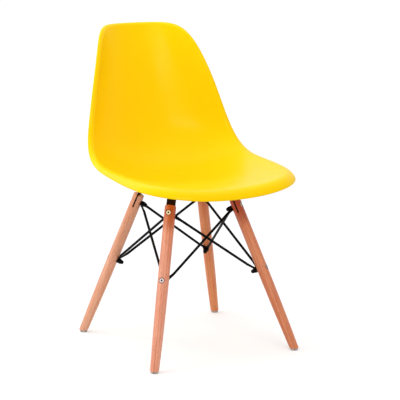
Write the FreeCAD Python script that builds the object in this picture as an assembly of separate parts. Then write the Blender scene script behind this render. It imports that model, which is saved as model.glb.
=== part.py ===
import FreeCAD, Part
import os
import math

# Moulded plastic shell chair on four dowel legs, millimetres, +Z up.
# The sitter faces -Y, the chair is the same left and right of X = 0, and
# the origin is on the floor under the middle of the chair's box.

V = FreeCAD.Vector
os.makedirs("parts", exist_ok=True)

# Seat shell: the middle line, walked from the front edge to the top edge
shell_wall = 5.0
shell_length = 757.7
front_edge_ahead_of_base = 223.8
front_edge_above_bars = 40.0
front_fall_angle = -3.6
seat_fall_angle = -6.5
back_rise_angle = 74.75
back_top_rise_angle = 72.3
seat_fall_by = 168.5
bend_from = 177.7
bend_to = 568.4
back_ease_from = 508.4

# Seat shell: sizes that change smoothly from the front edge to the top edge
half_widths = (211.0, 206.8, 218.5, 242.3, 169.7, 141.0)
wrap_angles = (16.1, 7.5, 57.0, 24.6, 60.2, 57.4)
roll_radii = (29.5, 14.8, 10.9, 10.8)
roll_angles = (78.2, 75.9, 71.6, 68.7)
wrap_power = 1.27
corner_power_top = 6.3
corner_power_front = 5.5
front_edge_bow = 17.4
top_edge_bow = 17.8

# Seat shell: how finely the moulded surfaces are drawn
walk_step = 1.0
wrap_steps = 12
across_step = 0.01
turn_step = 0.004
patch_margin = 12.0
patch_rows = 32
patch_columns = 26
rim_points = 96
roll_points = 8
nose_points = 6
sewing_tolerance = 0.01

# Legs: turned beech dowels, each leaning out to its foot
leg_dia = 28.0
foot_dia = 21.6
taper_length = 230.0
sawing_allowance = 8.0
leg_top_chamfer = 1.5
foot_half_width = 200.9
foot_half_depth = 206.6
upper_bolt_half_width = 96.2
upper_bolt_half_depth = 91.6
upper_bolt_below_bars = 37.0
leg_above_upper_bolt = 19.0
lower_bolt_fraction = 0.57
slot_depth = 35.5
slot_clearance = 0.1

# Floor glides with their nails
glide_dia = 18.4
glide_height = 6.0
glide_edge = 1.5
glide_recess_dia = 6.0
glide_recess_depth = 2.2
nail_dia = 2.6
nail_head_dia = 5.4
nail_head_height = 1.2
nail_length = 24.0
nail_tip_dia = 0.4

# Frame under the seat: two flat steel bars that cross
bar_width = 23.0
bar_thickness = 4.0
bar_top_height = 400.0
bar_bend_radius = 9.0
bar_below_bolt = 15.0
bar_end_radius = 4.0
joggle_half_flat = 16.0
joggle_run = 10.0

# Leg bolts and black cap nuts
bolt_dia = 6.0
bolt_hole_clearance = 0.2
thread_clearance = 0.05
bolt_head_dia = 12.4
bolt_head_height = 4.5
bolt_head_edge = 0.8
bolt_socket = 4.4
bolt_socket_depth = 2.4
counterbore_dia = 14.2
upper_counterbore_depth = 6.4
lower_counterbore_depth = 5.1
nut_across_flats = 11.0
nut_dome_dia = 10.2
nut_hex_height = 5.0
nut_shoulder = 7.6
nut_height = 12.0
nut_bore_depth = 9.0
bolt_into_nut = 8.0

# Brace rods: round wire with both ends pressed flat into eyes
rod_dia = 6.5
eye_dia = 13.0
eye_thickness = 2.5
tab_width = 10.0
tab_reach = 8.0
neck_reach = 20.0
neck_sunk = 0.3
brace_set_out = 2.4
rod_gap = 0.1

# Seat mounts: bosses, inserts, rubber spacers and bolts from below
mount_radius = 95.0
boss_dia = 24.0
boss_draft_dia = 28.0
insert_dia = 10.0
insert_length = 9.0
insert_flange_dia = 14.0
insert_flange_height = 1.0
spacer_dia = 20.0
front_spacer_height = 13.0
rear_spacer_height = 6.0
spacer_edge = 1.0
seat_bolt_across_flats = 10.0
seat_bolt_head_height = 3.6
seat_bolt_into_insert = 8.0
washer_dia = 16.0
washer_thickness = 1.2


def ramp(value, start, end):
    """Smooth step from 0 at start to 1 at end."""
    k = min(1.0, max(0.0, (value - start) / (end - start)))
    return k * k * k * (k * (6.0 * k - 15.0) + 10.0)


def blend(sizes, x):
    """Bezier blend of sizes, x = 0 at the front edge and 1 at the top edge."""
    n = len(sizes) - 1
    total = 0.0
    for i, size in enumerate(sizes):
        total += math.comb(n, i) * x ** i * (1.0 - x) ** (n - i) * size
    return total


def heading(s):
    """Climb of the middle line above the horizontal, in radians."""
    a = front_fall_angle
    a += (seat_fall_angle - front_fall_angle) * ramp(s, 0.0, seat_fall_by)
    a += (back_rise_angle - seat_fall_angle) * ramp(s, bend_from, bend_to)
    a += (back_top_rise_angle - back_rise_angle) * ramp(s, back_ease_from, shell_length)
    return math.radians(a)


def walk_profile():
    """Points of the middle line every walk_step, with a margin at both ends."""
    margin = 2.0 * patch_margin
    count = int((shell_length + 2.0 * margin) / walk_step)
    y = 0.0
    z = 0.0
    points = []
    for i in range(count + 2):
        s = i * walk_step - margin
        points.append((y, z))
        a = heading(s + walk_step / 2.0)
        y += math.cos(a) * walk_step
        z += math.sin(a) * walk_step
    start = round(margin / walk_step)
    dy = -front_edge_ahead_of_base - points[start][0]
    dz = bar_top_height + front_edge_above_bars - points[start][1]
    return [(y + dy, z + dz) for y, z in points]


profile = walk_profile()


def middle(s):
    """Point of the middle line at arc length s."""
    k = (s + 2.0 * patch_margin) / walk_step
    i = min(len(profile) - 2, max(0, int(math.floor(k))))
    f = k - i
    y = profile[i][0] + (profile[i + 1][0] - profile[i][0]) * f
    z = profile[i][1] + (profile[i + 1][1] - profile[i][1]) * f
    return y, z


def seat_point(s, t):
    """Point of the sitter's face; t runs from -1 to 1 across the shell."""
    x_part = s / shell_length
    wide = blend(half_widths, x_part)
    wrap = math.radians(blend(wrap_angles, x_part))
    reach = abs(t)
    across = 0.0
    rise = 0.0
    for i in range(wrap_steps):
        angle = wrap * (reach * (i + 0.5) / wrap_steps) ** wrap_power
        across += math.cos(angle)
        rise += math.sin(angle)
    across *= math.copysign(reach * wide / wrap_steps, t)
    rise *= reach * wide / wrap_steps
    a = heading(s)
    y, z = middle(s)
    return V(across, y - rise * math.sin(a), z + rise * math.cos(a))


def seat_normal(s, t):
    """Unit normal of the sitter's face, pointing at the sitter."""
    ds = 2.0 * walk_step
    along = seat_point(s + ds, t) - seat_point(s - ds, t)
    over = seat_point(s, t + across_step) - seat_point(s, t - across_step)
    n = over.cross(along)
    return n.normalize()


def rim_parameters(turn):
    """Where the roll of the rim starts, at one turn round the shell."""
    c = math.cos(turn)
    d = math.sin(turn)
    power = corner_power_top if d > 0.0 else corner_power_front
    r = (abs(c) ** power + abs(d) ** power) ** (-1.0 / power)
    t = r * c
    part = r * d
    s = shell_length / 2.0 * (1.0 + part)
    bow = front_edge_bow if part < 0.0 else -top_edge_bow
    s += bow * t ** 2 * part ** 4
    return s, t


def rim_section(turn):
    """One section of the rolled rim: sitter's face, round nose, rear face."""
    s, t = rim_parameters(turn)
    here = seat_point(s, t)
    n = seat_normal(s, t)
    ahead = seat_point(*rim_parameters(turn + turn_step))
    behind = seat_point(*rim_parameters(turn - turn_step))
    out = (ahead - behind).cross(n).normalize()
    x_part = s / shell_length
    radius = blend(roll_radii, x_part)
    full = math.radians(blend(roll_angles, x_part))
    centre = here - n * radius
    points = []
    for i in range(roll_points + 1):
        a = full * i / roll_points
        points.append(centre + out * (radius * math.sin(a)) + n * (radius * math.cos(a)))
    radial = out * math.sin(full) + n * math.cos(full)
    onward = out * math.cos(full) - n * math.sin(full)
    nose_radius = shell_wall / 2.0
    nose = centre + radial * (radius - nose_radius)
    for i in range(1, nose_points):
        b = math.pi * i / nose_points
        points.append(nose + radial * (nose_radius * math.cos(b)) + onward * (nose_radius * math.sin(b)))
    inner = radius - shell_wall
    for i in range(roll_points + 1):
        a = full * (1.0 - i / roll_points)
        points.append(centre + out * (inner * math.sin(a)) + n * (inner * math.cos(a)))
    return points


def curve_poles(points, knots, closed):
    """Interpolate points at the given knots and return the curve."""
    curve = Part.BSplineCurve()
    curve.interpolate(Points=points, PeriodicFlag=closed, Parameters=knots)
    return curve


def skin(rows, row_knots, column_knots, closed):
    """Smooth surface through rows of points; closed joins each row's ends."""
    lines = [curve_poles(row, column_knots, closed) for row in rows]
    grid = [line.getPoles() for line in lines]
    columns = []
    for i in range(len(grid[0])):
        column = [row[i] for row in grid]
        columns.append(curve_poles(column, row_knots, False))
    first = columns[0]
    surface = Part.BSplineSurface()
    surface.buildFromPolesMultsKnots(
        [column.getPoles() for column in columns],
        lines[0].getMultiplicities(),
        first.getMultiplicities(),
        lines[0].getKnots(),
        first.getKnots(),
        closed,
        False,
        3,
        3,
    )
    return surface


def chord_knots(points):
    """Knots spaced as the points are."""
    knots = [0.0]
    for a, b in zip(points, points[1:]):
        knots.append(knots[-1] + (b - a).Length)
    return knots


def main_patch(depth):
    """Large face of the shell, moved back from the sitter by depth."""
    s_first = -patch_margin
    s_last = shell_length + patch_margin
    t_last = 1.0 + patch_margin / min(half_widths)
    rows = []
    for j in range(patch_columns + 1):
        t = t_last * (2.0 * j / patch_columns - 1.0)
        row = []
        for i in range(patch_rows + 1):
            s = s_first + (s_last - s_first) * i / patch_rows
            row.append(seat_point(s, t) - seat_normal(s, t) * depth)
        rows.append(row)
    row_knots = [float(j) for j in range(patch_columns + 1)]
    column_knots = [float(i) for i in range(patch_rows + 1)]
    return skin(rows, row_knots, column_knots, False)


def loop_through(face, point):
    """Closed edge of a band of the rim that passes through point."""
    probe = Part.Vertex(point)
    loops = [e for e in face.Edges if e.isClosed()]
    return min(loops, key=lambda e: e.distToShape(probe)[0])


def trim(patch, edge):
    """Part of a large face inside a closed edge that lies on it."""
    face = Part.Face(patch, Part.Wire([edge]))
    face.fix(sewing_tolerance, sewing_tolerance / 100.0, sewing_tolerance * 10.0)
    return face


def build_shell_body():
    """Closed body of the shell: two trimmed faces joined by the rolled rim."""
    turns = [2.0 * math.pi * (i + 0.5) / rim_points for i in range(rim_points)]
    sections = [rim_section(turn) for turn in turns]
    rows = [list(row) for row in zip(*sections)]
    knots = chord_knots(sections[0])
    column_knots = [float(i) for i in range(rim_points + 1)]
    last = len(rows) - 1
    stops = [0, roll_points, roll_points + nose_points, last]
    bands = []
    for a, b in zip(stops, stops[1:]):
        bands.append(skin(rows[a:b + 1], knots[a:b + 1], column_knots, True).toShape())
    sitter_face = trim(main_patch(0.0), loop_through(bands[0], sections[0][0]))
    rear_face = trim(main_patch(shell_wall), loop_through(bands[-1], sections[0][last]))
    skin_of_shell = Part.makeShell(bands + [sitter_face, rear_face])
    skin_of_shell.sewShape(sewing_tolerance)
    body = Part.makeSolid(skin_of_shell)
    body.fix(sewing_tolerance, sewing_tolerance / 10.0, sewing_tolerance * 10.0)
    depths = [point.y for section in sections for point in section]
    return body, (min(depths) + max(depths)) / 2.0


# Where each leg stands: the sides of X and Y it is on
corners = {
    "front_right": (-1.0, -1.0),
    "front_left": (1.0, -1.0),
    "rear_right": (-1.0, 1.0),
    "rear_left": (1.0, 1.0),
}
leg_radius = leg_dia / 2.0
upper_bolt_height = bar_top_height - upper_bolt_below_bars
up = V(0.0, 0.0, 1.0)


class Corner:
    """Directions and bolt places of one leg."""

    def __init__(self, sign_x, sign_y):
        self.top = V(sign_x * upper_bolt_half_width, sign_y * upper_bolt_half_depth, upper_bolt_height)
        self.foot = V(sign_x * foot_half_width, sign_y * foot_half_depth, 0.0)
        self.length = (self.top - self.foot).Length
        self.axis = (self.top - self.foot).normalize()
        self.outward = V(self.top.x, self.top.y, 0.0).normalize()
        self.across = up.cross(self.outward)
        self.bolt = self.across.cross(self.axis).normalize()
        if self.bolt.dot(self.outward) < 0.0:
            self.bolt = self.bolt * -1.0
        self.low = self.foot + self.axis * (self.length * lower_bolt_fraction)
        self.mount = self.outward * mount_radius


places = {name: Corner(*signs) for name, signs in corners.items()}


def rod(start, direction, diameter, length):
    """Round bar from start along direction."""
    return Part.makeCylinder(diameter / 2.0, length, start, direction)


def slab(centre, along, across, length, width, thickness):
    """Box with its middle at centre, thickness square to along and across."""
    through = along.cross(across).normalize()
    corner = centre - along * (length / 2.0) - across * (width / 2.0) - through * (thickness / 2.0)
    base = [
        corner,
        corner + along * length,
        corner + along * length + across * width,
        corner + across * width,
    ]
    face = Part.Face(Part.makePolygon(base + [corner]))
    return face.extrude(through * thickness)


def build_leg(place):
    """Turned dowel with its slot, bolt holes, counterbores and nail hole."""
    total = place.length + leg_above_upper_bolt
    low = -sawing_allowance
    drop = taper_length - low
    low_radius = leg_radius - (leg_dia - foot_dia) / 2.0 * (drop / taper_length) ** 2
    low_end = V(low_radius, 0.0, low)
    tangent = V(leg_radius, 0.0, taper_length - drop / 2.0)
    outline = [
        V(leg_radius, 0.0, taper_length),
        V(leg_radius, 0.0, total - leg_top_chamfer),
        V(leg_radius - leg_top_chamfer, 0.0, total),
        V(0.0, 0.0, total),
        V(0.0, 0.0, low),
        low_end,
    ]
    taper = Part.BezierCurve()
    taper.setPoles([low_end, tangent, outline[0]])
    edges = [taper.toShape()]
    for a, b in zip(outline, outline[1:]):
        edges.append(Part.makeLine(a, b))
    face = Part.Face(Part.Wire(edges))
    leg = face.revolve(V(0.0, 0.0, 0.0), up, 360.0)
    turned = FreeCAD.Rotation(place.across, place.bolt, place.axis, "ZXY")
    leg.Placement = FreeCAD.Placement(place.foot, turned)
    block = Part.makeBox(4.0 * leg_dia, 4.0 * leg_dia, 4.0 * leg_dia)
    block.translate(glide_centre(place) + up * glide_height - V(2.0, 2.0, 4.0) * leg_dia)
    leg = leg.cut(block)
    slot_bottom = place.top + place.axis * (leg_above_upper_bolt - slot_depth)
    slot_width = bar_thickness + 2.0 * slot_clearance
    slot_centre = slot_bottom + place.axis * slot_depth
    slot = slab(slot_centre, place.axis, place.across, 2.0 * slot_depth, 2.0 * leg_dia, slot_width)
    cuts = [slot]
    hole = bolt_dia + 2.0 * bolt_hole_clearance
    for point, depth in ((place.top, upper_counterbore_depth), (place.low, lower_counterbore_depth)):
        cuts.append(rod(point - place.bolt * leg_dia, place.bolt, hole, 2.0 * leg_dia))
        seat = point + place.bolt * (leg_radius - depth)
        cuts.append(rod(seat, place.bolt, counterbore_dia, leg_radius))
    nail_at = glide_centre(place)
    cuts.append(rod(nail_at, up, nail_dia, glide_recess_depth + nail_length))
    return leg.cut(cuts)


def glide_centre(place):
    """Floor point under the middle of the leg's sawn foot."""
    down = place.foot + place.axis * (glide_height / place.axis.z)
    return V(down.x, down.y, 0.0)


def build_glide(place):
    """Round floor glide with softened edge and a recess for its nail."""
    at = glide_centre(place)
    disc = rod(at, up, glide_dia, glide_height)
    lower_rim = [e for e in disc.Edges if e.BoundBox.ZMax < 0.1]
    disc = disc.makeFillet(glide_edge, lower_rim)
    recess = rod(at, up, glide_recess_dia, glide_recess_depth)
    hole = rod(at, up, nail_dia, glide_height)
    return disc.cut([recess, hole])


def build_nail(place):
    """Nail through the glide into the end grain of the leg."""
    at = glide_centre(place)
    seat = at + up * glide_recess_depth
    head = rod(seat - up * nail_head_height, up, nail_head_dia, nail_head_height)
    point_length = nail_dia
    shank = rod(seat, up, nail_dia, nail_length - point_length)
    tip_at = seat + up * (nail_length - point_length)
    tip = Part.makeCone(nail_dia / 2.0, nail_tip_dia / 2.0, point_length, tip_at, up)
    return head.fuse([shank, tip])


def bar_half(place, raised):
    """Side view of one half of a frame bar: its upper and lower lines."""
    down = place.across.cross(place.bolt).normalize()
    if down.z > 0.0:
        down = down * -1.0
    lean = math.atan2(down.dot(place.outward), -down.z)
    turn = math.pi / 2.0 - lean
    reach = place.top.dot(place.outward)
    half = bar_thickness / 2.0
    mid = bar_top_height - half
    corner_r = reach - (mid - upper_bolt_height) * math.tan(lean)
    back = bar_bend_radius * math.tan(turn / 2.0)
    centre_r = corner_r - back
    centre_z = mid - bar_bend_radius
    end_r = reach + bar_below_bolt * math.sin(lean)
    end_z = upper_bolt_height - bar_below_bolt * math.cos(lean)

    def line(offset):
        radius = bar_bend_radius + offset
        middle_turn = turn / 2.0
        points = []
        lift = bar_thickness if raised else 0.0
        points.append(("corner", joggle_half_flat, mid + offset + lift))
        points.append(("corner", joggle_half_flat + joggle_run, mid + offset))
        points.append(("corner", centre_r, mid + offset))
        points.append((
            "arc",
            (centre_r + radius * math.sin(middle_turn), centre_z + radius * math.cos(middle_turn)),
            (centre_r + radius * math.sin(turn), centre_z + radius * math.cos(turn)),
        ))
        points.append(("corner", end_r + offset * math.cos(lean), end_z + offset * math.sin(lean)))
        return points

    return line(half), line(-half)


def build_bar(place, raised):
    """Flat frame bar from the leg at place to the one across from it."""
    upper, lower = bar_half(place, raised)

    def edges_of(points, sign):
        edges = []
        last = None
        for item in points:
            if item[0] == "corner":
                here = place.outward * (sign * item[1]) + up * item[2]
                if last is not None:
                    edges.append(Part.makeLine(last, here))
            else:
                mid = place.outward * (sign * item[1][0]) + up * item[1][1]
                here = place.outward * (sign * item[2][0]) + up * item[2][1]
                edges.append(Part.Arc(last, mid, here).toShape())
            last = here
        return edges, last

    edges = []
    for sign in (1.0, -1.0):
        top_edges, top_end = edges_of(upper, sign)
        low_edges, low_end = edges_of(lower, sign)
        edges += top_edges + low_edges + [Part.makeLine(top_end, low_end)]
    for line in (upper, lower):
        inner_r = line[0][1]
        inner_z = line[0][2]
        start = place.outward * -inner_r + up * inner_z
        end = place.outward * inner_r + up * inner_z
        edges.append(Part.makeLine(start, end))
    face = Part.Face(Part.Wire(Part.__sortEdges__(edges)))
    face.translate(place.across * (-bar_width / 2.0))
    bar = face.extrude(place.across * bar_width)
    lowest = bar.BoundBox.ZMin + bar_thickness
    ends = [e for e in bar.Edges if e.BoundBox.ZMax < lowest and abs(e.Length - bar_thickness) < 0.1]
    bar = bar.makeFillet(bar_end_radius, ends)
    cuts = []
    hole = bolt_dia + 2.0 * bolt_hole_clearance
    for sign in (1.0, -1.0):
        flip = FreeCAD.Rotation(up, 0.0 if sign > 0.0 else 180.0)
        bolt = flip.multVec(place.bolt)
        top = flip.multVec(place.top)
        cuts.append(rod(top - bolt * leg_radius, bolt, hole, leg_dia))
        mount = place.mount * sign + up * (bar_top_height - 2.0 * bar_thickness)
        cuts.append(rod(mount, up, hole, 4.0 * bar_thickness))
    return bar.cut(cuts)


def build_leg_bolt(place, point, counterbore_depth):
    """Socket head bolt, head outside, end inside the cap nut."""
    seat = point + place.bolt * (leg_radius - counterbore_depth)
    head = rod(seat, place.bolt, bolt_head_dia, bolt_head_height)
    rim = [e for e in head.Edges if e.isClosed() and e.CenterOfMass.distanceToPoint(seat) > 1.0]
    head = head.makeChamfer(bolt_head_edge, rim[:1])
    nut_seat = leg_radius + 2.0 * eye_thickness
    reach = leg_radius - counterbore_depth + nut_seat + bolt_into_nut
    shank = rod(seat, place.bolt * -1.0, bolt_dia, reach)
    face_centre = seat + place.bolt * (bolt_head_height - bolt_socket_depth)
    socket = hexagon(face_centre, place.bolt, bolt_socket, bolt_socket_depth)
    return head.fuse(shank).cut(socket)


def hexagon(start, direction, across_flats, height):
    """Hexagonal prism from start along direction."""
    radius = across_flats / math.sqrt(3.0)
    turned = FreeCAD.Rotation(up, direction)
    points = []
    for i in range(7):
        a = math.pi / 3.0 * i
        points.append(start + turned.multVec(V(radius * math.cos(a), radius * math.sin(a), 0.0)))
    return Part.Face(Part.makePolygon(points)).extrude(direction * height)


def build_cap_nut(place, point):
    """Domed black nut on the inner end of a leg bolt."""
    inward = place.bolt * -1.0
    seat = point + inward * (leg_radius + 2.0 * eye_thickness)
    rise = nut_height - nut_shoulder
    ball_radius = (rise * rise + nut_dome_dia * nut_dome_dia / 4.0) / (2.0 * rise)
    stem = rod(seat, inward, nut_dome_dia, nut_height)
    ball = Part.makeSphere(ball_radius, seat + inward * (nut_height - ball_radius))
    dome = rod(seat, inward, nut_dome_dia, nut_shoulder).fuse(ball.common(stem))
    body = dome.fuse(hexagon(seat, inward, nut_across_flats, nut_hex_height))
    bore = rod(seat, inward, bolt_dia + 2.0 * thread_clearance, nut_bore_depth)
    return body.cut(bore)


def eye_point(place, point, layer):
    """Middle of a brace eye: layer 0 lies on the leg, layer 1 on that eye."""
    return point - place.bolt * (leg_radius + eye_thickness * (layer + 0.5))


def set_square(edge, centre, direction, across):
    """Closed edge drawn flat at the origin, moved square to direction."""
    turned = FreeCAD.Rotation(across, direction.cross(across), direction, "ZXY")
    edge.Placement = FreeCAD.Placement(centre, turned)
    return Part.Wire([edge])


def brace_end(eye, bolt, line_point, toward):
    """Pierced eye, flat tab and neck that turns into the round rod."""
    flat = (toward - bolt * toward.dot(bolt)).normalize()
    across = bolt.cross(flat).normalize()
    disc = rod(eye - bolt * (eye_thickness / 2.0), bolt, eye_dia, eye_thickness)
    tab = slab(eye + flat * (tab_reach / 2.0), flat, across, tab_reach, tab_width, eye_thickness)
    neck_from = eye + flat * (tab_reach - neck_sunk)
    neck_to = line_point + toward * (tab_reach + neck_reach)
    wide = tab_width / 2.0 - neck_sunk
    thick = eye_thickness / 2.0 - neck_sunk / 2.0
    flat_section = Part.Ellipse(V(0.0, 0.0, 0.0), wide, thick).toShape()
    round_section = Part.Circle(V(0.0, 0.0, 0.0), up, rod_dia / 2.0).toShape()
    flat_wire = set_square(flat_section, neck_from, flat, across)
    round_wire = set_square(round_section, neck_to, toward, across)
    neck = Part.makeLoft([flat_wire, round_wire], True, True)
    return disc.fuse([tab, neck]), neck_to


def build_brace(high, high_point, low, low_point, layer):
    """Straight round rod from a leg's upper bolt to the next leg's lower bolt."""
    start = eye_point(high, high_point, layer)
    end = eye_point(low, low_point, layer)
    other_start = eye_point(low, low.top, layer)
    other_end = eye_point(high, high.low, layer)
    square = (end - start).cross(other_end - other_start).normalize()
    middle_point = (start + end) * 0.5
    if square.dot(V(middle_point.x, middle_point.y, 0.0)) < 0.0:
        square = square * -1.0
    set_out = brace_set_out
    if layer == 0:
        set_out += rod_dia + rod_gap - high.bolt.dot(square) * eye_thickness
    shift = square * set_out
    direction = (end - start).normalize()
    end_a, from_a = brace_end(start, high.bolt, start + shift, direction)
    end_b, from_b = brace_end(end, low.bolt, end + shift, direction * -1.0)
    shaft = rod(from_a, (from_b - from_a).normalize(), rod_dia, (from_b - from_a).Length)
    brace = shaft.fuse([end_a, end_b])
    hole = bolt_dia + 2.0 * bolt_hole_clearance
    holes = []
    for eye, place in ((start, high), (end, low)):
        holes.append(rod(eye - place.bolt * eye_thickness, place.bolt, hole, 2.0 * eye_thickness))
    return brace.cut(holes)


def spacer_height(place):
    """Height of the spacer: the front ones are taller, so the seat tips back."""
    return front_spacer_height if place.top.y < 0.0 else rear_spacer_height


def mount_height(place):
    """Height of the boss face, which rests on the spacer."""
    return bar_top_height + spacer_height(place)


def build_insert(place):
    """Threaded sleeve moulded into a boss, its flange flush with the boss."""
    at = place.mount + up * mount_height(place)
    sleeve = rod(at, up, insert_dia, insert_length)
    flange = rod(at, up, insert_flange_dia, insert_flange_height)
    bore = rod(at, up, bolt_dia + 2.0 * thread_clearance, insert_length)
    return sleeve.fuse(flange).cut(bore)


def insert_pocket(place):
    """Room the insert takes in the boss."""
    at = place.mount + up * mount_height(place)
    sleeve = rod(at, up, insert_dia, insert_length)
    return sleeve.fuse(rod(at, up, insert_flange_dia, insert_flange_height))


def build_boss(place, body):
    """Drafted boss that ends inside the wall of the shell."""
    at = place.mount
    plumb = Part.makeLine(at + up * bar_top_height, at + up * (bar_top_height + shell_length))
    wall = min(body.common(plumb).Edges, key=lambda e: e.BoundBox.ZMin)
    inside_wall = (wall.BoundBox.ZMin + wall.BoundBox.ZMax) / 2.0
    bottom = mount_height(place)
    return Part.makeCone(boss_dia / 2.0, boss_draft_dia / 2.0, inside_wall - bottom, at + up * bottom, up)


def build_spacer(place):
    """Rubber ring between the frame bar and the boss."""
    at = place.mount + up * bar_top_height
    height = spacer_height(place)
    ring = rod(at, up, spacer_dia, height)
    rims = [e for e in ring.Edges if e.isClosed() and e.BoundBox.ZLength < 0.1]
    ring = ring.makeChamfer(spacer_edge, rims)
    return ring.cut(rod(at, up, bolt_dia + 2.0 * bolt_hole_clearance, height))


def build_washer(place):
    """Plain washer under a frame bar."""
    at = place.mount + up * (bar_top_height - bar_thickness - washer_thickness)
    disc = rod(at, up, washer_dia, washer_thickness)
    return disc.cut(rod(at, up, bolt_dia + 2.0 * bolt_hole_clearance, washer_thickness))


def build_seat_bolt(place):
    """Bolt from under the frame bar up into the insert."""
    seat = place.mount + up * (bar_top_height - bar_thickness - washer_thickness)
    head = hexagon(seat - up * seat_bolt_head_height, up, seat_bolt_across_flats, seat_bolt_head_height)
    reach = mount_height(place) + seat_bolt_into_insert - seat.z
    return head.fuse(rod(seat, up, bolt_dia, reach))


def build_shell():
    """Moulded shell with its four bosses and the pockets of their inserts."""
    body, middle_of_depth = build_shell_body()
    bosses = [build_boss(place, body) for place in places.values()]
    shell = body.fuse(bosses)
    shell = shell.cut([insert_pocket(place) for place in places.values()])
    return shell.removeSplitter(), middle_of_depth


def group(shapes):
    """Separate solids in one node."""
    solids = []
    for shape in shapes:
        solids += shape.Solids
    return Part.makeCompound(solids)


shell, middle_of_depth = build_shell()
everyone = list(places.values())
fronts = [places["front_right"], places["front_left"]]
rears = [places["rear_right"], places["rear_left"]]
nodes = {
    "seat_shell": shell,
    "seat_inserts": group(build_insert(place) for place in everyone),
    "seat_spacers_front": group(build_spacer(place) for place in fronts),
    "seat_spacers_rear": group(build_spacer(place) for place in rears),
    "seat_washers": group(build_washer(place) for place in everyone),
    "seat_bolts_front": group(build_seat_bolt(place) for place in fronts),
    "seat_bolts_rear": group(build_seat_bolt(place) for place in rears),
    "frame_bar_lower": build_bar(places["front_left"], False),
    "frame_bar_upper": build_bar(places["front_right"], True),
    "leg_bolts_upper": group(build_leg_bolt(p, p.top, upper_counterbore_depth) for p in everyone),
    "leg_bolts_lower": group(build_leg_bolt(p, p.low, lower_counterbore_depth) for p in everyone),
    "cap_nuts_upper": group(build_cap_nut(place, place.top) for place in everyone),
    "cap_nuts_lower": group(build_cap_nut(place, place.low) for place in everyone),
    "foot_glides": group(build_glide(place) for place in everyone),
    "glide_nails": group(build_nail(place) for place in everyone),
}
for name, place in places.items():
    nodes["leg_" + name] = build_leg(place)

# Each side of the base has two braces that cross. Going round the chair, the
# one that starts high at the second leg has its eyes against the legs, and
# its rod passes outside the other one.
sides = {
    "right": ("rear_right", "front_right"),
    "front": ("front_right", "front_left"),
    "left": ("front_left", "rear_left"),
    "rear": ("rear_left", "rear_right"),
}
for side_name, (first, second) in sides.items():
    a = places[first]
    b = places[second]
    nodes["brace_" + side_name + "_outer"] = build_brace(b, b.top, a, a.low, 0)
    nodes["brace_" + side_name + "_inner"] = build_brace(a, a.top, b, b.low, 1)

for name, shape in nodes.items():
    shape.translate(V(0.0, -middle_of_depth, 0.0))
    shape.exportStep("parts/" + name + ".step")
    print(name, len(shape.Solids), shape.isValid(), round(shape.Volume, 1))
print("moved back by", round(middle_of_depth, 2))
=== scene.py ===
# %% [markdown]
# A moulded shell chair on four beech dowels
#
# This notebook dresses a chair that was drawn in a CAD program. The solids
# arrive as a fixed frame: a yellow plastic shell, four turned legs, two flat
# steel bars under the seat, eight black brace rods and the fasteners that
# hold them together. Nothing here moves a solid or changes its size. What
# Blender adds is the camera, a small studio and the finishes.

# %% Load the frame
import bpy
import math
import numpy as np
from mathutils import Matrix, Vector


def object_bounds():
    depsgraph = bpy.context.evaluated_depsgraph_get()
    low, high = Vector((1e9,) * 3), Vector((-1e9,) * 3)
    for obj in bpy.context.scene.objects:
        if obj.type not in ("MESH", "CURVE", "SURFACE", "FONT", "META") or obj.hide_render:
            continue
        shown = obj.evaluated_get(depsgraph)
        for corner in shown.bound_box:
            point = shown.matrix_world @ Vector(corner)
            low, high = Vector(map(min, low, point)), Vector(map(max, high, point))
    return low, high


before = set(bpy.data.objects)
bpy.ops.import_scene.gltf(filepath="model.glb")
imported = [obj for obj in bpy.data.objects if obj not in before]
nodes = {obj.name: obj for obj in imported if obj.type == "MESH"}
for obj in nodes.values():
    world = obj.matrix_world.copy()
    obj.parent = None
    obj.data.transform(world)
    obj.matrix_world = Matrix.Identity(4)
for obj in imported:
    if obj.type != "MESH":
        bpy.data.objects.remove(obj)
cad_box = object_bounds()
cad_size = cad_box[1] - cad_box[0]
print("nodes:", len(nodes))
print("chair, metres:", [round(value, 4) for value in cad_size])

# %% [markdown]
# The camera
#
# A photograph of a product is usually taken from far away with a long lens,
# so that near and far legs look almost the same size. The place of this
# camera was worked out from the feet and the bolts: it stands 29 degrees to
# the sitter's right of straight ahead and looks down by 11 degrees. A camera
# could be aimed with a constraint, but turning its direction into a rotation
# leaves nothing behind that could move it later.

# %% Make the camera
view_turn = math.radians(-28.987)
view_rise = math.radians(11.256)
view_distance = 3.8489
aim = Vector((0.0303, -0.0393, 0.3714))
picture_pixels = 400
focal_pixels = 1511.6
sensor_mm = 36.0

toward_camera = Vector((
    math.sin(view_turn) * math.cos(view_rise),
    -math.cos(view_turn) * math.cos(view_rise),
    math.sin(view_rise),
))
camera_data = bpy.data.cameras.new("studio_camera")
camera_data.sensor_width = sensor_mm
camera_data.lens = focal_pixels * sensor_mm / picture_pixels
camera = bpy.data.objects.new("studio_camera", camera_data)
camera.location = aim + toward_camera * view_distance
camera.rotation_mode = "QUATERNION"
camera.rotation_quaternion = (-toward_camera).to_track_quat("-Z", "Y")
bpy.context.scene.collection.objects.link(camera)
bpy.context.scene.camera = camera
print("lens, mm:", round(camera_data.lens, 1))
print("camera at, metres:", [round(value, 3) for value in camera.location])

# %% [markdown]
# The white world
#
# The chair stands against pure white. A world as bright as white paper is
# the simple way, but it would also light the chair from every side and wash
# out its shading. Light Path tells the two uses apart: the world is white
# where the camera sees it, directly, in a gloss or through something clear,
# and dimmer where it lights the chair. The Standard view shows a colour as
# it is written, where Blender's usual view would turn the yellow paler.
#
# This world and every finish below are node trees. Making a node, setting
# its sockets and joining it to the next one takes three lines each time, so
# two helpers do it. They hide nothing: the names are Blender's own socket
# names, and the same trees could be wired by hand in the shader editor.

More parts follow.
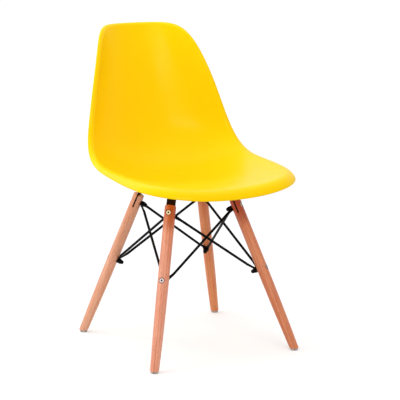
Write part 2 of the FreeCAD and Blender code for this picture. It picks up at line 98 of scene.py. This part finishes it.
# %% Make the white world
world_light = 0.53
world_tint = (1.0, 0.99, 0.98, 1.0)
pure_white = (1.0, 1.0, 1.0, 1.0)


def add(tree, kind, sockets=None, **settings):
    """A new node with its settings and the values of its input sockets."""
    node = tree.nodes.new("ShaderNode" + kind)
    for name, value in settings.items():
        setattr(node, name, value)
    for name, value in (sockets or {}).items():
        node.inputs[name].default_value = value
    return node


def join(tree, source, output, target, socket):
    """A link from source's output to target's input. Gives target back."""
    tree.links.new(source.outputs[output], target.inputs[socket])
    return target


def seen_by(tree, first, *others):
    """1 for a ray of one of these kinds of Light Path, 0 for any other."""
    path = add(tree, "LightPath")
    source, output = path, first
    for ray in others:
        either = add(tree, "Math", operation="MAXIMUM")
        join(tree, source, output, either, 0)
        source, output = join(tree, path, ray, either, 1), "Value"
    return source


bpy.context.scene.view_settings.view_transform = "Standard"
world = bpy.data.worlds.new("studio_world")
world.use_nodes = True
bpy.context.scene.world = world
tree = world.node_tree
tree.nodes.clear()
seen = seen_by(tree, "Is Camera Ray", "Is Glossy Ray", "Is Transmission Ray")
lighting = add(tree, "Background", {"Color": world_tint, "Strength": world_light})
paper = add(tree, "Background", {"Color": pure_white, "Strength": 1.0})
choice = add(tree, "MixShader")
join(tree, seen, "Value", choice, 0)
join(tree, lighting, "Background", choice, 1)
join(tree, paper, "Background", choice, 2)
join(tree, choice, "Shader", add(tree, "OutputWorld"), "Surface")
print("world strength that lights the chair:", world_light)

# %% [markdown]
# The floor
#
# In a studio a roll of white paper runs along the floor and up behind the
# chair, and no line shows where floor turns into wall. A bent sheet would
# have to be turned for every view, so this floor is one very large flat
# square, and its far end melts into the white world.

# %% Lay the floor
floor_half = 60.0
floor_corners = [(-1, -1), (1, -1), (1, 1), (-1, 1)]

floor_points = [(x * floor_half, y * floor_half, 0.0) for x, y in floor_corners]
floor_mesh = bpy.data.meshes.new("studio_floor")
floor_mesh.from_pydata(floor_points, [], [(0, 1, 2, 3)])
floor = bpy.data.objects.new("studio_floor", floor_mesh)
bpy.context.scene.collection.objects.link(floor)
print("floor, metres across:", 2 * floor_half)

# %% [markdown]
# The paper on the floor
#
# The paper catches the chair's soft shadow, and adds enough white of its own
# to look like the background. Near the chair the lamps already make it
# bright, so there it adds little and the shadow stays. Farther out it adds
# more. The paper is a touch blue, which makes up for the yellow light that
# the shell throws on it. Seen from underneath it lets the view through, so
# that the underside of the chair can be looked at as well.

# %% Make the paper
paper_colour = (0.80, 0.81, 0.845, 1.0)
near, far = 1.2, 3.6
glow_near, glow_far = 0.28, 0.61


def remap(tree, source, output, start, end, low=0.0, high=1.0, **settings):
    """A value that goes from low, at start, to high, at end, and no further."""
    reach = {"From Min": start, "From Max": end, "To Min": low, "To Max": high}
    scale = add(tree, "MapRange", reach, **settings)
    return join(tree, source, output, scale, "Value")


paper_finish = bpy.data.materials.new("studio_paper")
paper_finish.use_nodes = True
floor_mesh.materials.append(paper_finish)
tree = paper_finish.node_tree
tree.nodes.clear()
sheet = add(tree, "BsdfDiffuse", {"Color": paper_colour})
glow = add(tree, "Emission", {"Color": pure_white})
away = add(tree, "VectorMath", operation="LENGTH")
join(tree, add(tree, "TexCoord"), "Object", away, 0)
own_white = remap(tree, away, "Value", near, far, glow_near, glow_far)
join(tree, own_white, "Result", glow, "Strength")
both = add(tree, "AddShader")
join(tree, sheet, "BSDF", both, 0)
join(tree, glow, "Emission", both, 1)
by_ray = add(tree, "MixShader")
join(tree, seen_by(tree, "Is Camera Ray", "Is Glossy Ray"), "Value", by_ray, 0)
join(tree, sheet, "BSDF", by_ray, 1)
join(tree, both, "Shader", by_ray, 2)
by_side = add(tree, "MixShader")
join(tree, add(tree, "NewGeometry"), "Backfacing", by_side, 0)
join(tree, by_ray, "Shader", by_side, 1)
join(tree, add(tree, "BsdfTransparent"), "BSDF", by_side, 2)
join(tree, by_side, "Shader", add(tree, "OutputMaterial"), "Surface")
print("white that the paper adds, near and far:", glow_near, glow_far)

# %% [markdown]
# The lamps
#
# The plastic tells where the studio's lamps hang. The rolled edge along the
# seat's right side (left in the picture) mirrors a bright sheet behind and to
# that side, the pan mirrors the white wall at a flat angle, and one wide low
# strip in front draws the soft patch high on the back. To find how strong
# each lamp is, the chair was rendered under one lamp at a time. Light adds
# up, so the strengths could then be worked out instead of guessed, and only
# small changes were made afterwards. Large lamps give soft edges. Small ones
# would render faster, but they would print hard spots on the glossy plastic.

# %% Hang the lamps
seat_middle = (0.0, 0.0, 0.45)
back_middle = (0.063, 0.229, 0.713)
lamp_plan = [
    # name, place, target, width and height in metres, watts
    ("lamp_above", (-0.1, -0.3, 2.4), seat_middle, 2.4, 2.0, 13.4),
    ("lamp_above_rear", (-0.2, 1.2, 2.1), seat_middle, 2.0, 1.2, 9.6),
    ("lamp_left_rear", (-1.7, 1.15, 1.75), seat_middle, 2.0, 1.2, 14.4),
    ("lamp_left", (-2.2, 0.0, 1.3), seat_middle, 1.2, 1.6, 11.8),
    ("lamp_strip", (-0.24, -1.96, 1.65), back_middle, 1.2, 0.20, 13.4),
]


def hang_lamp(name, place, target, width, height, power):
    """A rectangular lamp at place, turned to face target."""
    data = bpy.data.lights.new(name, "AREA")
    data.shape = "RECTANGLE"
    data.size = width
    data.size_y = height
    data.energy = power
    lamp = bpy.data.objects.new(name, data)
    lamp.location = place
    lamp.rotation_mode = "QUATERNION"
    direction = Vector(target) - Vector(place)
    lamp.rotation_quaternion = direction.to_track_quat("-Z", "Y")
    bpy.context.scene.collection.objects.link(lamp)
    return lamp


for plan in lamp_plan:
    lamp = hang_lamp(*plan)
    print(lamp.name, "watts:", round(lamp.data.energy, 1))

# %% [markdown]
# Yellow moulded plastic
#
# The shell is polypropylene, coloured right through, and the colour drifts a
# little from place to place. A single flat colour would look like paint on a
# computer, so a slow noise mixes two yellows that are close to each other.
# The gloss of this plastic is faint and takes some of its yellow, which the
# tinted specular stands for. Noise that is read in the object's own space
# needs no unwrapping and has no seams, so no picture is painted on anything.
#
# Opening a material, reading a noise and mixing two colours by it come back
# in every finish, and each gets a helper here.

# %% Mix the yellow
plastic_yellow = (1.0, 0.655, 0.0, 1.0)
plastic_deep = (1.0, 0.610, 0.0, 1.0)
drift_scale, drift_detail = 7.0, 3.0


def new_finish(name, sockets):
    """A material with a principled shader, whose sockets are set by name."""
    finish = bpy.data.materials.new(name)
    finish.use_nodes = True
    shader = finish.node_tree.nodes["Principled BSDF"]
    for socket, value in sockets.items():
        shader.inputs[socket].default_value = value
    return finish, finish.node_tree, shader


def noise_at(tree, place, scale, detail):
    """Noise in the object's own space: scale is its cells to the metre."""
    noise = add(tree, "TexNoise", {"Scale": scale, "Detail": detail})
    return join(tree, place, "Object", noise, "Vector")


def colour_mix(tree, first, second, source, output, **settings):
    """Two colours mixed by source. Each is four numbers, or a node and output."""
    mix = add(tree, "Mix", data_type="RGBA", **settings)
    for socket, colour in (("A", first), ("B", second)):
        if len(colour) == 2:
            join(tree, *colour, mix, socket)
        else:
            mix.inputs[socket].default_value = colour
    return join(tree, source, output, mix, "Factor")


finish_shell, tree, shader = new_finish("yellow_plastic", {
    "IOR": 1.49,
    "Specular IOR Level": 0.30,
    "Specular Tint": (1.0, 0.80, 0.08, 1.0),
    "Coat Weight": 0.04,
    "Coat Roughness": 0.20,
})
place = add(tree, "TexCoord")
drift = noise_at(tree, place, drift_scale, drift_detail)
tint = colour_mix(tree, plastic_yellow, plastic_deep, drift, "Fac")
join(tree, tint, "Result", shader, "Base Color")
print("yellow, from", plastic_yellow[:3], "to", plastic_deep[:3])

# %% [markdown]
# Two sides with two glosses
#
# The sitter's side has a satin gloss. The other side comes out of a finely
# blasted mould half, so it is duller. The two could be split into two
# materials along the rim, but then the rim would show a line. Instead the
# direction that the surface faces, in the chair's own space, says which side
# it is, and the change is spread softly round the rim.

# %% Set the gloss of each side
toward_sitter = (0.0, -0.6, 0.8)
side_change = 0.25
patch_scale, patch_detail = 40.0, 4.0
noise_low, noise_high = 0.3, 0.7
satin_low, satin_high = 0.36, 0.44
rear_extra = 0.14

facing = add(tree, "VectorMath", operation="DOT_PRODUCT")
facing.inputs[1].default_value = toward_sitter
join(tree, place, "Normal", facing, 0)
rear = remap(tree, facing, "Value", side_change, -side_change)
patches = noise_at(tree, place, patch_scale, patch_detail)
satin = remap(tree, patches, "Fac", noise_low, noise_high, satin_low, satin_high)
duller = remap(tree, rear, "Result", 0.0, 1.0, 0.0, rear_extra)
roughness = add(tree, "Math", operation="ADD")
join(tree, satin, "Result", roughness, 0)
join(tree, duller, "Result", roughness, 1)
join(tree, roughness, "Value", shader, "Roughness")
print("roughness on the sitter's side, from", satin_low, "to", satin_high)
print("added on the other side:", rear_extra)

# %% [markdown]
# The skin of the mould
#
# Up close the gloss ripples a little, like the skin of an orange, and the
# wall is not dead flat. Three reliefs lie one over the other: slow waves of
# the wall, the fine peel, and the grain of the blasted side, which fades out
# towards the sitter. Real dents in the mesh could do this too, but at a few
# hundredths of a millimetre only the light can tell.

# %% Raise the skin
wave_scale, wave_strength, wave_height = 14.0, 0.20, 0.0005
peel_scale, peel_strength, peel_height = 900.0, 0.10, 0.00006
blast_scale, blast_strength, blast_height = 1400.0, 0.35, 0.00010


def relief(tree, source, output, strength, height, under=None):
    """A bump of this height in metres, laid over the bump under it, if any."""
    bump = add(tree, "Bump", {"Strength": strength, "Distance": height})
    if under:
        join(tree, under, "Normal", bump, "Normal")
    return join(tree, source, output, bump, "Height")


waves = noise_at(tree, place, wave_scale, 1.0)
peel = noise_at(tree, place, peel_scale, 2.0)
blasted = noise_at(tree, place, blast_scale, 1.0)
wave_bump = relief(tree, waves, "Fac", wave_strength, wave_height)
peel_bump = relief(tree, peel, "Fac", peel_strength, peel_height, wave_bump)
blast_bump = relief(tree, blasted, "Fac", 1.0, blast_height, peel_bump)
blast_part = add(tree, "Math", operation="MULTIPLY")
blast_part.inputs[1].default_value = blast_strength
join(tree, rear, "Result", blast_part, 0)
join(tree, blast_part, "Value", blast_bump, "Strength")
join(tree, blast_bump, "Normal", shader, "Normal")
print("yellow plastic nodes:", len(tree.nodes))

# %% [markdown]
# Where the legs stand
#
# The dowels are turned from straight stock, so on each leg the grain runs
# along that leg's own axis, and the legs lean four ways. For the grain to
# follow them, the middles of each leg's foot and top are needed. They could
# be copied from the drawing, but it is safer to measure them on the solid.

# %% Find where each leg stands
end_share = 40


def leg_ends(name):
    """The middles of a leg's lowest and highest parts."""
    points = [vertex.co.copy() for vertex in nodes[name].data.vertices]
    points.sort(key=lambda point: point.z)
    reach = max(4, len(points) // end_share)
    ends = []
    for group in (points[:reach], points[-reach:]):
        low = Vector([min(point[i] for point in group) for i in range(3)])
        high = Vector([max(point[i] for point in group) for i in range(3)])
        ends.append((low + high) / 2.0)
    return ends


leg_names = sorted(
    name for name in nodes if name.startswith("leg_") and "bolts" not in name)
legs = {name: leg_ends(name) for name in leg_names}
for name, (foot, top) in legs.items():
    print(name, "from", [round(v, 3) for v in foot], "to", [round(v, 3) for v in top])

# %% [markdown]
# Noise that follows the grain
#
# One shared wood would need unwrapped legs. Instead each leg gets a mapping
# of its own, which stands it upright before any pattern is read. Wood fibres
# are long and thin, so a wood's patterns are noise with small cells across
# the grain and long ones along it. Once a leg stands upright, such a noise is
# one more mapping, with one scale across and another along.
#
# The pith is the middle of the tree. A dowel is cut beside it, so each leg
# has its pith off to another side, and its own height in the tree.

# %% Stand each leg upright
pith_places = {
    "leg_front_left": (0.021, 0.012),
    "leg_front_right": (-0.018, 0.024),
    "leg_rear_left": (0.014, -0.026),
    "leg_rear_right": (-0.025, -0.013),
}
height_step = 0.7
heights = {name: height_step * (count + 1) for count, name in enumerate(leg_names)}


def stood_upright(tree, place, name):
    """The leg's own space, turned so that its grain runs up from its foot."""
    foot, top = legs[name]
    turn = (top - foot).rotation_difference(Vector((0.0, 0.0, 1.0)))
    in_tree = Vector((*pith_places[name], heights[name]))
    upright = add(tree, "Mapping")
    upright.inputs["Rotation"].default_value = turn.to_euler()
    upright.inputs["Location"].default_value = in_tree - turn @ foot
    return join(tree, place, "Object", upright, "Vector")


def stretched(tree, upright, across, along, detail):
    """Noise drawn out along the grain: cells per metre across and along."""
    scale = add(tree, "Mapping", {"Scale": (across, across, along)})
    noise = add(tree, "TexNoise", {"Scale": 1.0, "Detail": detail})
    join(tree, upright, "Vector", scale, "Vector")
    return join(tree, scale, "Vector", noise, "Vector")


print("heights in the tree, metres:", [round(height, 1) for height in heights.values()])

# %% [markdown]
# The figure of beech
#
# Beech is pinkish, with cloudy tone, soft bands and faint rings round the
# pith. The three are added up with weights, as a cook would season: a little
# of the rings, more of the bands, most of the clouds. The pattern is solid:
# it runs through the leg, and the sawn foot shows end grain without more
# work. No two dowels come from the same tree, so each has its own two tones.
# The tones also hold painted light: the two legs on the sitter's right, the
# side the lamps hang on, are painted paler and pinker, and the two on the
# left deeper and more orange.

# %% Grow the figure
# Each leg's own tones, with painted light: paler on the lamp side.
leg_tones_and_light = {
    # pale and dark
    "leg_rear_right": ((0.86, 0.435, 0.275, 1.0), (0.73, 0.295, 0.15, 1.0)),
    "leg_front_right": ((0.83, 0.355, 0.22, 1.0), (0.685, 0.22, 0.112, 1.0)),
    "leg_front_left": ((0.735, 0.265, 0.118, 1.0), (0.60, 0.150, 0.048, 1.0)),
    "leg_rear_left": ((0.84, 0.290, 0.098, 1.0), (0.70, 0.170, 0.038, 1.0)),
}
ring_pattern = {"Scale": 55.0, "Distortion": 3.5, "Detail": 2.0, "Detail Scale": 0.6}
ring_along = 0.035
ring_weight, cloud_weight, band_weight = 0.14, 0.75, 0.45
dark_at, pale_at = 0.50, 0.81


def weighted_sum(tree, parts):
    """The sum of noises, each times its weight."""
    total = None
    for part, weight in parts:
        step = add(tree, "Math", {2: 0.0}, operation="MULTIPLY_ADD")
        step.inputs[1].default_value = weight
        join(tree, part, "Fac", step, 0)
        if total:
            join(tree, total, "Value", step, 2)
        total = step
    return total


def wood_figure(tree, upright, pale, dark):
    """The wood's body colour: rings, clouds and bands between two tones."""
    flat = add(tree, "Mapping", {"Scale": (1.0, 1.0, ring_along)})
    rings = add(tree, "TexWave", ring_pattern, wave_type="RINGS", rings_direction="Z")
    join(tree, upright, "Vector", flat, "Vector")
    join(tree, flat, "Vector", rings, "Vector")
    clouds = stretched(tree, upright, 45.0, 9.0, 4.0)
    bands = stretched(tree, upright, 150.0, 3.0, 2.0)
    figure = weighted_sum(tree, [
        (rings, ring_weight), (clouds, cloud_weight), (bands, band_weight)])
    body = add(tree, "ValToRGB")
    tones = body.color_ramp.elements
    tones[0].position, tones[0].color = dark_at, dark
    tones[1].position, tones[1].color = pale_at, pale
    return join(tree, figure, "Value", body, "Fac")


print("dowels with tones of their own:", len(leg_tones_and_light))

# %% [markdown]
# The flecks
#
# Beech is known by its short dark flecks. Three noises give them: hair-thin
# ones, longer ones and soft streaks. Drawing each fleck as a stroke would
# take thousands of strokes. Only the peaks of a noise become a fleck, which
# a MapRange with a high start does, and where two kinds meet the darker wins.

# %% Sow the flecks
fleck_detail = 2.0
fleck_kinds = [
    # cells per metre across and along, noise where it starts and is full, strength
    (1500.0, 95.0, 0.60, 0.72, 0.66),
    (620.0, 70.0, 0.61, 0.71, 0.55),
    (330.0, 10.0, 0.50, 0.76, 0.36),
]


def largest(tree, parts):
    """The largest of several values between 0 and 1."""
    total = parts[0]
    for part in parts[1:]:
        pick = add(tree, "Math", operation="MAXIMUM")
        join(tree, total, 0, pick, 0)
        total = join(tree, part, 0, pick, 1)
    return total


def wood_flecks(tree, upright):
    """How much fleck there is at a point, between 0 and 1."""
    flecks = []
    for across, along, start, full, strength in fleck_kinds:
        noise = stretched(tree, upright, across, along, fleck_detail)
        flecks.append(remap(tree, noise, "Fac", start, full, 0.0, strength))
    return largest(tree, flecks)


print("kinds of fleck:", len(fleck_kinds))

# %% [markdown]
# Painted shade at the top
#
# Towards the top of three of the dowels the colour is painted a deep orange
# brown: painted shade from the seat above, coloured by painted yellow light
# from the shell. The change could be a third tone in the figure, but then
# the figure would fade where the tone begins. Multiplying the colour keeps
# the figure and only deepens it.

# %% Paint the shade at the tops
seat_shade_tints = {
    "leg_rear_right": (1.0, 0.96, 0.92, 1.0),
    "leg_front_right": (0.86, 0.44, 0.06, 1.0),
    "leg_front_left": (0.68, 0.23, 0.0, 1.0),
    "leg_rear_left": (0.83, 0.56, 0.38, 1.0),
}
shade_from, shade_full = 0.79, 0.98


def painted_seat_shade(tree, upright, colour, name):
    """The colour with painted shade, deeper from one share of the leg's length to another.
    """
    foot, top = legs[name]
    start, full = [heights[name] + share * (top - foot).length
                   for share in (shade_from, shade_full)]
    height = join(tree, upright, "Vector", add(tree, "SeparateXYZ"), "Vector")
    under_seat = remap(tree, height, "Z", start, full, interpolation_type="SMOOTHSTEP")
    return colour_mix(tree, (colour, "Result"), seat_shade_tints[name], under_seat, "Result",
                      blend_type="MULTIPLY")


for name, (foot, top) in legs.items():
    print(name, "deepens over its last, mm:",
          round(1000 * (1.0 - shade_from) * (top - foot).length))

# %% [markdown]
# Where the screws are
#
# Two screws go through each leg. Their heads sit in bored holes, and both the
# holes and the hexagon sockets are darker than what is round them: the holes
# are end grain with a painted shadow, and the sockets hold painted shade. To
# say "near this screw" in a material, each screw's axis is needed. It is read
# from the solid as well: the longest direction through a screw's points.

# %% Find the axes of the leg screws
def screw_axes(name):
    """The middle and direction of each screw, by the corner it stands in."""
    points = np.array([vertex.co[:] for vertex in nodes[name].data.vertices])
    x = points[:, 0]
    y = points[:, 1] - (points[:, 1].min() + points[:, 1].max()) / 2.0
    axes = {}
    for side_x in (-1, 1):
        for side_y in (-1, 1):
            screw = points[(x * side_x > 0.0) & (y * side_y > 0.0)]
            middle = screw.mean(axis=0)
            direction = np.linalg.svd(screw - middle, full_matrices=False)[2][0]
            axes[side_x, side_y] = (tuple(middle), tuple(direction))
    return axes


screws = {name: screw_axes(name) for name in ("leg_bolts_upper", "leg_bolts_lower")}
for name, axes in screws.items():
    for corner, (middle, direction) in axes.items():
        print(name, corner, [round(float(v), 4) for v in middle],
              [round(float(v), 3) for v in direction])

# %% [markdown]
# Near a screw
#
# How far a point is from a line has a simple answer: take the arrow from a
# point on the line to the point, and the length of its cross product with
# the line's direction is the distance. Three nodes do that for every point
# of a surface, so a round dark edge needs neither a mask nor more geometry.
# The walls of the bored holes are end grain in shadow, and they are the first
# thing to be marked this way: a darker end grain with a painted shadow over it.

# %% Mark the bored holes
bore_inside, bore_outside = 0.00715, 0.00745


def near_line(tree, place, middle, direction, inside, outside):
    """1 closer to the line than inside, 0 farther than outside."""
    away = add(tree, "VectorMath", operation="SUBTRACT")
    away.inputs[1].default_value = middle
    across = add(tree, "VectorMath", operation="CROSS_PRODUCT")
    across.inputs[1].default_value = direction
    gap = add(tree, "VectorMath", operation="LENGTH")
    join(tree, place, "Object", away, 0)
    join(tree, away, "Vector", across, 0)
    join(tree, across, "Vector", gap, 0)
    return remap(tree, gap, "Value", inside, outside, 1.0, 0.0)


def painted_bore_shade(tree, place, foot):
    """1 in the holes of the leg that stands on foot, otherwise 0."""
    corner = (1 if foot.x > 0.0 else -1, 1 if foot.y > 0.0 else -1)
    return largest(tree, [
        near_line(tree, place, *axes[corner], bore_inside, bore_outside)
        for axes in screws.values()])


print("wood is dark round a screw's axis up to, mm:", 1000 * bore_inside)

# %% [markdown]
# Beech for each leg
#
# Now the parts come together. The legs are oiled and lightly lacquered: a
# weak, soft coat over the wood. The flecks are pores, so they are also a
# little deeper and duller than what is round them. All four legs could share
# one tree with many switches, but one function that is called four times is
# easier to follow.

# %% Mix the beech
wood_fleck = (0.30, 0.070, 0.026, 1.0)
# The bored holes: darker end grain with a painted shadow.
bore_shade = (0.11, 0.035, 0.016, 1.0)
wood_smooth, wood_dull = 0.42, 0.62
pore_strength, pore_depth = 0.30, 0.00015


def beech(name):
    """Beech for one leg: figure, flecks, painted shade at the top and in the holes,
    lacquer.
    """
    finish, tree, shader = new_finish("beech_" + name, {
        "IOR": 1.5,
        "Specular IOR Level": 0.35,
        "Coat Weight": 0.42,
        "Coat Roughness": 0.42,
    })
    place = add(tree, "TexCoord")
    upright = stood_upright(tree, place, name)
    body = wood_figure(tree, upright, *leg_tones_and_light[name])
    pores = wood_flecks(tree, upright)
    colour = colour_mix(tree, (body, "Color"), wood_fleck, pores, 0)
    # Painted shade and yellow light from the seat, towards the top.
    colour = painted_seat_shade(tree, upright, colour, name)
    # Darker end grain with painted shadow in the bored holes.
    holes = painted_bore_shade(tree, place, legs[name][0])
    colour = colour_mix(tree, (colour, "Result"), bore_shade, holes, 0)
    sheen = remap(tree, pores, 0, 0.0, 1.0, wood_smooth, wood_dull)
    sunk = relief(tree, pores, 0, pore_strength, pore_depth)
    sunk.invert = True
    join(tree, colour, "Result", shader, "Base Color")
    join(tree, sheen, "Result", shader, "Roughness")
    join(tree, sunk, "Normal", shader, "Normal")
    return finish


beech_finishes = {name: beech(name) for name in leg_names}
print("beech finishes:", sorted(beech_finishes))

# %% [markdown]
# Black steel
#
# The bars are powder coated: a thick skin with a faint grain and a dull
# shine. The brace rods and the domed nuts are smoother and darker. The black
# could be a plain dark colour, but then it would look like a hole in the
# picture. A roughness that changes a little from place to place, and a relief
# at the scale of the powder, make it read as metal with a coat on it.

# %% Mix the black coats
coat_patch_scale, coat_patch_detail = 45.0, 5.0
powder_detail, powder_strength = 3.0, 0.5
powder_contrast = 2.1
coat_plan = {
    # colour, gloss, roughness from and to, powder per metre, relief in metres
    # the powder coat's brown cast is a painted reflection of the yellow shell and the
    # beech
    "black_powder_coat": ((0.013, 0.0035, 0.0018), 0.06, 0.42, 0.56, 1300.0, 0.00008),
    "black_enamel": ((0.0015, 0.0012, 0.001), 0.05, 0.36, 0.44, 700.0, 0.00002),
    "black_nut_coat": ((0.002, 0.0017, 0.0015), 0.06, 0.28, 0.38, 900.0, 0.00003),
}


def black_coat(name, colour, gloss, rough_low, rough_high, grain, depth):
    """Powder or enamel on steel: grain is its fineness, depth its relief."""
    finish, tree, shader = new_finish(name, {"IOR": 1.52, "Specular IOR Level": gloss})
    paler = [powder_contrast * part for part in colour]
    place = add(tree, "TexCoord")
    patches = noise_at(tree, place, coat_patch_scale, coat_patch_detail)
    powder = noise_at(tree, place, grain, powder_detail)
    shade = remap(tree, patches, "Fac", noise_low, noise_high, rough_low, rough_high)
    tint = colour_mix(tree, (*colour, 1.0), (*paler, 1.0), powder, "Fac")
    skin = relief(tree, powder, "Fac", powder_strength, depth)
    join(tree, shade, "Result", shader, "Roughness")
    join(tree, tint, "Result", shader, "Base Color")
    join(tree, skin, "Normal", shader, "Normal")
    return finish


coats = {name: black_coat(name, *numbers) for name, numbers in coat_plan.items()}
print("black coats:", list(coats))

# %% [markdown]
# Painted shade in the screw heads
#
# The screw heads in the legs catch the light as a pale ring round a dark
# hexagon. The dark is painted: painted shade in the hexagon socket, and a
# painted shadow round the rim, where the head meets its hole. Both could be
# thin pieces of their own. But socket and rim lie round the screw's axis, so
# the distance from it finds them, and the painted shade stays a colour.

# %% Mark the painted shade in the heads
# Painted shade in the hexagon sockets, painted shadow round the rims.
head_shade_colour = (0.035, 0.022, 0.016, 1.0)
socket_inside, socket_outside = 0.0023, 0.0026
face_inside, face_outside = 0.0056, 0.0061


def painted_head_shade(tree, place, lines):
    """1 in the sockets and round the rims of these screws' heads."""
    sockets = [near_line(tree, place, *line, socket_inside, socket_outside)
               for line in lines]
    faces = [near_line(tree, place, *line, face_inside, face_outside)
             for line in lines]
    rims = add(tree, "Math", operation="SUBTRACT")
    rims.inputs[0].default_value = 1.0
    join(tree, largest(tree, faces), 0, rims, 1)
    return largest(tree, sockets + [rims])


print("clean ring, mm from the axis:", 1000 * socket_outside, "to", 1000 * face_inside)

# %% [markdown]
# Bright metal
#
# The screws and washers are zinc plated, and the inserts in the shell are
# brass. A mirror-like metal would show the white studio and nothing else, so
# the metal gets cloudy patches, fine scratches and a warm tint. The scratches
# are noise again, drawn out by a mapping.
#
# The heads in the legs are sunk in the wood. At a flat angle they would
# mirror the dark wall of their hole and not the white studio, which a dark
# tint of the metal's edge stands for, as a painted reflection. The upper
# heads are painted paler and yellower than the lower ones, which are painted
# darker and pinker: lit and shaded copies of one zinc plate.

# %% Mix the bright metals
tarnish_scale, tarnish_detail = 160.0, 5.0
scratch_scale, scratch_detail = (900.0, 900.0, 5200.0), 2.0
scratch_strength, scratch_depth = 0.35, 0.00003
plain_edge = (1.0, 1.0, 1.0)
sunk_edge = (0.02, 0.015, 0.01)


def bright_metal(name, colour, tarnish, rough_low, rough_high, edge=plain_edge, lines=()):
    """Clouded, scratched metal, with painted shade in the heads on these screw lines."""
    finish, tree, shader = new_finish(name, {
        "Metallic": 1.0,
        "Specular Tint": (*edge, 1.0),
    })
    place = add(tree, "TexCoord")
    clouds = noise_at(tree, place, tarnish_scale, tarnish_detail)
    tint = colour_mix(tree, (*colour, 1.0), (*tarnish, 1.0), clouds, "Fac")
    if lines:
        # Painted shade in the sockets and painted shadow round the rims.
        shade_marks = painted_head_shade(tree, place, lines)
        tint = colour_mix(tree, (tint, "Result"), head_shade_colour, shade_marks, 0)
    shade = remap(tree, clouds, "Fac", noise_low, noise_high, rough_low, rough_high)
    lie = add(tree, "Mapping", {"Scale": scratch_scale})
    scratches = add(tree, "TexNoise", {"Scale": 1.0, "Detail": scratch_detail})
    join(tree, place, "Object", lie, "Vector")
    join(tree, lie, "Vector", scratches, "Vector")
    scratched = relief(tree, scratches, "Fac", scratch_strength, scratch_depth)
    join(tree, tint, "Result", shader, "Base Color")
    join(tree, shade, "Result", shader, "Roughness")
    join(tree, scratched, "Normal", shader, "Normal")
    return finish


# Painted light: the upper heads paler and yellower, the lower ones darker.
head_light_tints = {
    # clean and tarnished
    "leg_bolts_upper": ((0.98, 0.93, 0.80), (0.90, 0.80, 0.62)),
    "leg_bolts_lower": ((0.80, 0.67, 0.66), (0.58, 0.44, 0.43)),
}
finish_zinc = bright_metal(
    "zinc_plate", (0.86, 0.83, 0.76), (0.62, 0.58, 0.50), 0.24, 0.38)
screw_finishes = {
    name: bright_metal("zinc_" + name, *head_light_tints[name], 0.30, 0.42,
                       sunk_edge, list(axes.values()))
    for name, axes in screws.items()
}
finish_brass = bright_metal(
    "insert_brass", (0.78, 0.58, 0.27), (0.55, 0.38, 0.16), 0.28, 0.42)
print("bright metals:", finish_zinc.name, *sorted(screw_finishes), finish_brass.name)

# %% [markdown]
# Rubber and the floor glides
#
# The spacers between the bars and the shell are black rubber: very dull,
# with a fine mould texture and a bloom of grey. The glides under the feet
# are pale grey nylon, scuffed brown in patches from the floor. They could be
# two recipes, but both are a dull colour under clouds of another one, so one
# tree serves them and only its numbers differ.

# %% Mix the rubber and the nylon
bloom_scale, bloom_detail = 220.0, 6.0
bloom_start, bloom_full = 0.42, 0.72
texture_detail, texture_strength = 2.0, 0.6
polymer_plan = {
    # colour, bloom, roughness, grain per metre, relief in metres
    "black_rubber": ((0.018, 0.018, 0.018), (0.045, 0.044, 0.042), 0.78, 1500.0, 0.00008),
    "grey_nylon": ((0.52, 0.47, 0.43), (0.26, 0.19, 0.15), 0.46, 1100.0, 0.00004),
}


def dull_polymer(name, colour, bloom, rough, grain, depth):
    """Rubber or nylon: a colour that fades into a bloom, with a fine grain."""
    finish, tree, shader = new_finish(name, {"Roughness": rough, "IOR": 1.5})
    place = add(tree, "TexCoord")
    clouds = noise_at(tree, place, bloom_scale, bloom_detail)
    part = remap(tree, clouds, "Fac", bloom_start, bloom_full)
    tint = colour_mix(tree, (*colour, 1.0), (*bloom, 1.0), part, "Result")
    fine = noise_at(tree, place, grain, texture_detail)
    skin = relief(tree, fine, "Fac", texture_strength, depth)
    join(tree, tint, "Result", shader, "Base Color")
    join(tree, skin, "Normal", shader, "Normal")
    return finish


polymers = {name: dull_polymer(name, *numbers) for name, numbers in polymer_plan.items()}
print("polymers:", list(polymers))

# %% [markdown]
# Give every solid its finish
#
# A solid arrives with one plain material. Putting the new one into the same
# slot is enough, and leaves the mesh as it is. The list below goes by name,
# so a solid that was forgotten shows up when the counts are compared.

# %% Hand out the finishes
finish_of = {
    "seat_shell": finish_shell,
    "seat_inserts": finish_brass,
    "seat_spacers_front": polymers["black_rubber"],
    "seat_spacers_rear": polymers["black_rubber"],
    "seat_washers": finish_zinc,
    "seat_bolts_front": finish_zinc,
    "seat_bolts_rear": finish_zinc,
    "glide_nails": finish_zinc,
    "frame_bar_lower": coats["black_powder_coat"],
    "frame_bar_upper": coats["black_powder_coat"],
    "cap_nuts_upper": coats["black_nut_coat"],
    "cap_nuts_lower": coats["black_nut_coat"],
    "foot_glides": polymers["grey_nylon"],
}
finish_of.update(beech_finishes)
finish_of.update(screw_finishes)
for name in nodes:
    if name.startswith("brace_"):
        finish_of[name] = coats["black_enamel"]
for name, finish in finish_of.items():
    for slot in nodes[name].material_slots:
        slot.material = finish
print("finished solids:", len(finish_of), "of", len(nodes))
